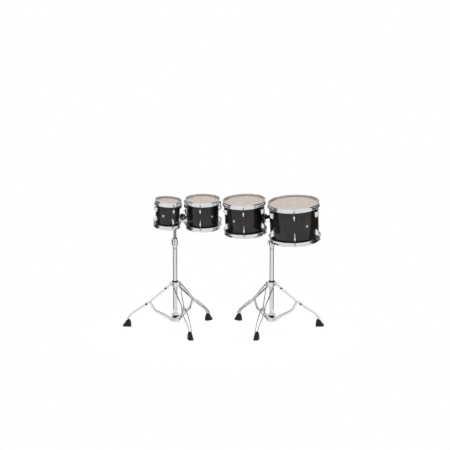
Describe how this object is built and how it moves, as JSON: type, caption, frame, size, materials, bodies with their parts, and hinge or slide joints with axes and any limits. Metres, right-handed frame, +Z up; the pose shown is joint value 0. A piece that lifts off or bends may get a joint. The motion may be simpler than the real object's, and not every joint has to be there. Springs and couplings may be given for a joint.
{
  "type": "concert tom set",
  "caption": "Row of double-headed concert toms in graduated sizes on folding double-braced stands with ball-jointed drum holders.",
  "frame": {"origin": "centre of the object's footprint box, on the floor", "axes": "+X along the row from the smallest drum to the largest, +Y to the back, away from the player's side shown in the picture, +Z up"},
  "size_m": [1.323, 0.7198, 0.8968],
  "materials": {
    "chrome": "polished chrome plate",
    "black_nylon": "moulded black nylon",
    "rubber": "matt black rubber",
    "black_lacquer": "gloss transparent black lacquer over upright wood grain, darker at the edges",
    "drum_film": "clear polyester film over pale maple"
  },
  "bodies": {
    "stands": {"left_base_tube": "chrome", "left_lower_hub": "chrome", "right_base_tube": "chrome", "right_lower_hub": "chrome"},
    "left_hub": {"left_upper_hub": "chrome"},
    "left_outer_leg": {"left_leg_outer": "chrome", "left_foot_outer": "rubber"},
    "left_outer_brace": {"left_brace_outer": "chrome"},
    "left_front_leg": {"left_leg_front": "chrome", "left_foot_front": "rubber"},
    "left_front_brace": {"left_brace_front": "chrome"},
    "left_rear_leg": {"left_leg_rear": "chrome", "left_foot_rear": "rubber"},
    "left_rear_brace": {"left_brace_rear": "chrome"},
    "left_hub_wing": {"left_hub_bolt": "chrome"},
    "left_clamp_wing": {"left_clamp_bolt": "chrome"},
    "left_holder": {"left_upper_tube": "chrome", "left_holder_head": "black_nylon"},
    "right_hub": {"right_upper_hub": "chrome"},
    "right_outer_leg": {"right_leg_outer": "chrome", "right_foot_outer": "rubber"},
    "right_outer_brace": {"right_brace_outer": "chrome"},
    "right_front_leg": {"right_leg_front": "chrome", "right_foot_front": "rubber"},
    "right_front_brace": {"right_brace_front": "chrome"},
    "right_rear_leg": {"right_leg_rear": "chrome", "right_foot_rear": "rubber"},
    "right_rear_brace": {"right_brace_rear": "chrome"},
    "right_hub_wing": {"right_hub_bolt": "chrome"},
    "right_clamp_wing": {"right_clamp_bolt": "chrome"},
    "right_holder": {"right_upper_tube": "chrome", "right_holder_head": "black_nylon"},
    "tom_6_arm_body": {"tom_6_arm": "chrome"},
    "tom_6": {"tom_6_shell": "black_lacquer", "tom_6_batter_head": "drum_film", "tom_6_resonant_head": "drum_film", "tom_6_batter_hoop": "chrome", "tom_6_resonant_hoop": "chrome", "tom_6_bracket": "chrome"},
    "tom_8_arm_body": {"tom_8_arm": "chrome"},
    "tom_8": {"tom_8_shell": "black_lacquer", "tom_8_batter_head": "drum_film", "tom_8_resonant_head": "drum_film", "tom_8_batter_hoop": "chrome", "tom_8_resonant_hoop": "chrome", "tom_8_bracket": "chrome"},
    "tom_10_arm_body": {"tom_10_arm": "chrome"},
    "tom_10": {"tom_10_shell": "black_lacquer", "tom_10_batter_head": "drum_film", "tom_10_resonant_head": "drum_film", "tom_10_batter_hoop": "chrome", "tom_10_resonant_hoop": "chrome", "tom_10_bracket": "chrome"},
    "tom_12_arm_body": {"tom_12_arm": "chrome"},
    "tom_12": {"tom_12_shell": "black_lacquer", "tom_12_batter_head": "drum_film", "tom_12_resonant_head": "drum_film", "tom_12_batter_hoop": "chrome", "tom_12_resonant_hoop": "chrome", "tom_12_bracket": "chrome"}
  },
  "joints": [
    {"name": "left_tripod_fold", "type": "slide", "parent": "stands", "child": "left_hub", "axis": [0, 0, 1], "range_m": [0, 0.1301]},
    {"name": "left_outer_leg_hinge", "type": "hinge", "parent": "left_hub", "child": "left_outer_leg", "pos_m": [-0.33852, 0.09157, 0.296], "axis": [-0.1908, -0.9816, 0], "range_deg": [0, 39.39]},
    {"name": "left_outer_brace_hinge", "type": "hinge", "parent": "stands", "child": "left_outer_brace", "pos_m": [-0.33852, 0.09157, 0.062], "axis": [-0.1908, -0.9816, 0], "range_deg": [-42.26, 0]},
    {"name": "left_front_leg_hinge", "type": "hinge", "parent": "left_hub", "child": "left_front_leg", "pos_m": [-0.30454, 0.06203, 0.296], "axis": [0.9455, 0.3256, 0], "range_deg": [0, 39.39]},
    {"name": "left_front_brace_hinge", "type": "hinge", "parent": "stands", "child": "left_front_brace", "pos_m": [-0.30454, 0.06203, 0.062], "axis": [0.9455, 0.3256, 0], "range_deg": [-42.26, 0]},
    {"name": "left_rear_leg_hinge", "type": "hinge", "parent": "left_hub", "child": "left_rear_leg", "pos_m": [-0.29594, 0.10623, 0.296], "axis": [-0.7547, 0.6561, 0], "range_deg": [0, 39.39]},
    {"name": "left_rear_brace_hinge", "type": "hinge", "parent": "stands", "child": "left_rear_brace", "pos_m": [-0.29594, 0.10623, 0.062], "axis": [-0.7547, 0.6561, 0], "range_deg": [-42.26, 0]},
    {"name": "left_hub_bolt_turn", "type": "hinge", "parent": "stands", "child": "left_hub_wing", "pos_m": [-0.33268, 0.06397, 0.09], "axis": [-0.6561, -0.7547, 0], "range_deg": [0, 180]},
    {"name": "left_clamp_bolt_turn", "type": "hinge", "parent": "stands", "child": "left_clamp_wing", "pos_m": [-0.333, 0.11411, 0.5675], "axis": [-1, 0, 0], "range_deg": [0, 180]},
    {"name": "left_height_slide", "type": "slide", "parent": "stands", "child": "left_holder", "axis": [0, 0, 1], "range_m": [0, 0.12]},
    {"name": "right_tripod_fold", "type": "slide", "parent": "stands", "child": "right_hub", "axis": [0, 0, 1], "range_m": [0, 0.1301]},
    {"name": "right_outer_leg_hinge", "type": "hinge", "parent": "right_hub", "child": "right_outer_leg", "pos_m": [0.33852, 0.09157, 0.296], "axis": [-0.1908, 0.9816, 0], "range_deg": [0, 39.39]},
    {"name": "right_outer_brace_hinge", "type": "hinge", "parent": "stands", "child": "right_outer_brace", "pos_m": [0.33852, 0.09157, 0.062], "axis": [-0.1908, 0.9816, 0], "range_deg": [-42.26, 0]},
    {"name": "right_front_leg_hinge", "type": "hinge", "parent": "right_hub", "child": "right_front_leg", "pos_m": [0.30454, 0.06203, 0.296], "axis": [0.9455, -0.3256, 0], "range_deg": [0, 39.39]},
    {"name": "right_front_brace_hinge", "type": "hinge", "parent": "stands", "child": "right_front_brace", "pos_m": [0.30454, 0.06203, 0.062], "axis": [0.9455, -0.3256, 0], "range_deg": [-42.26, 0]},
    {"name": "right_rear_leg_hinge", "type": "hinge", "parent": "right_hub", "child": "right_rear_leg", "pos_m": [0.29594, 0.10623, 0.296], "axis": [-0.7547, -0.6561, 0], "range_deg": [0, 39.39]},
    {"name": "right_rear_brace_hinge", "type": "hinge", "parent": "stands", "child": "right_rear_brace", "pos_m": [0.29594, 0.10623, 0.062], "axis": [-0.7547, -0.6561, 0], "range_deg": [-42.26, 0]},
    {"name": "right_hub_bolt_turn", "type": "hinge", "parent": "stands", "child": "right_hub_wing", "pos_m": [0.33268, 0.06397, 0.09], "axis": [0.6561, -0.7547, 0], "range_deg": [0, 180]},
    {"name": "right_clamp_bolt_turn", "type": "hinge", "parent": "stands", "child": "right_clamp_wing", "pos_m": [0.293, 0.11411, 0.5675], "axis": [-1, 0, 0], "range_deg": [0, 180]},
    {"name": "right_height_slide", "type": "slide", "parent": "stands", "child": "right_holder", "axis": [0, 0, 1], "range_m": [0, 0.12]},
    {"name": "tom_6_tilt", "type": "hinge", "parent": "left_holder", "child": "tom_6_arm_body", "pos_m": [-0.362, 0.08661, 0.735], "axis": [1, 0, 0], "range_deg": [-20, 5]},
    {"name": "tom_6_rod_slide", "type": "slide", "parent": "tom_6_arm_body", "child": "tom_6", "axis": [0.0602, -0.165, 0.9844], "range_m": [-0.008, 0.02]},
    {"name": "tom_8_tilt", "type": "hinge", "parent": "left_holder", "child": "tom_8_arm_body", "pos_m": [-0.264, 0.08661, 0.735], "axis": [1, 0, 0], "range_deg": [-20, 5]},
    {"name": "tom_8_rod_slide", "type": "slide", "parent": "tom_8_arm_body", "child": "tom_8", "axis": [0, -0.165, 0.9863], "range_m": [-0.008, 0.02]},
    {"name": "tom_10_tilt", "type": "hinge", "parent": "right_holder", "child": "tom_10_arm_body", "pos_m": [0.264, 0.08661, 0.735], "axis": [1, 0, 0], "range_deg": [-20, 5]},
    {"name": "tom_10_rod_slide", "type": "slide", "parent": "tom_10_arm_body", "child": "tom_10", "axis": [-0.043, -0.165, 0.9853], "range_m": [-0.008, 0.02]},
    {"name": "tom_12_tilt", "type": "hinge", "parent": "right_holder", "child": "tom_12_arm_body", "pos_m": [0.362, 0.08661, 0.735], "axis": [1, 0, 0], "range_deg": [-20, 5]},
    {"name": "tom_12_rod_slide", "type": "slide", "parent": "tom_12_arm_body", "child": "tom_12", "axis": [-0.0516, -0.165, 0.9849], "range_m": [-0.008, 0.02]}
  ],
  "couplings": [
    {"joint": "left_outer_leg_hinge", "follows": "left_tripod_fold", "rad_per_m": 5.2771},
    {"joint": "left_outer_brace_hinge", "follows": "left_tripod_fold", "rad_per_m": -5.6632},
    {"joint": "left_front_leg_hinge", "follows": "left_tripod_fold", "rad_per_m": 5.2771},
    {"joint": "left_front_brace_hinge", "follows": "left_tripod_fold", "rad_per_m": -5.6632},
    {"joint": "left_rear_leg_hinge", "follows": "left_tripod_fold", "rad_per_m": 5.2771},
    {"joint": "left_rear_brace_hinge", "follows": "left_tripod_fold", "rad_per_m": -5.6632},
    {"joint": "right_outer_leg_hinge", "follows": "right_tripod_fold", "rad_per_m": 5.2771},
    {"joint": "right_outer_brace_hinge", "follows": "right_tripod_fold", "rad_per_m": -5.6632},
    {"joint": "right_front_leg_hinge", "follows": "right_tripod_fold", "rad_per_m": 5.2771},
    {"joint": "right_front_brace_hinge", "follows": "right_tripod_fold", "rad_per_m": -5.6632},
    {"joint": "right_rear_leg_hinge", "follows": "right_tripod_fold", "rad_per_m": 5.2771},
    {"joint": "right_rear_brace_hinge", "follows": "right_tripod_fold", "rad_per_m": -5.6632}
  ]
}
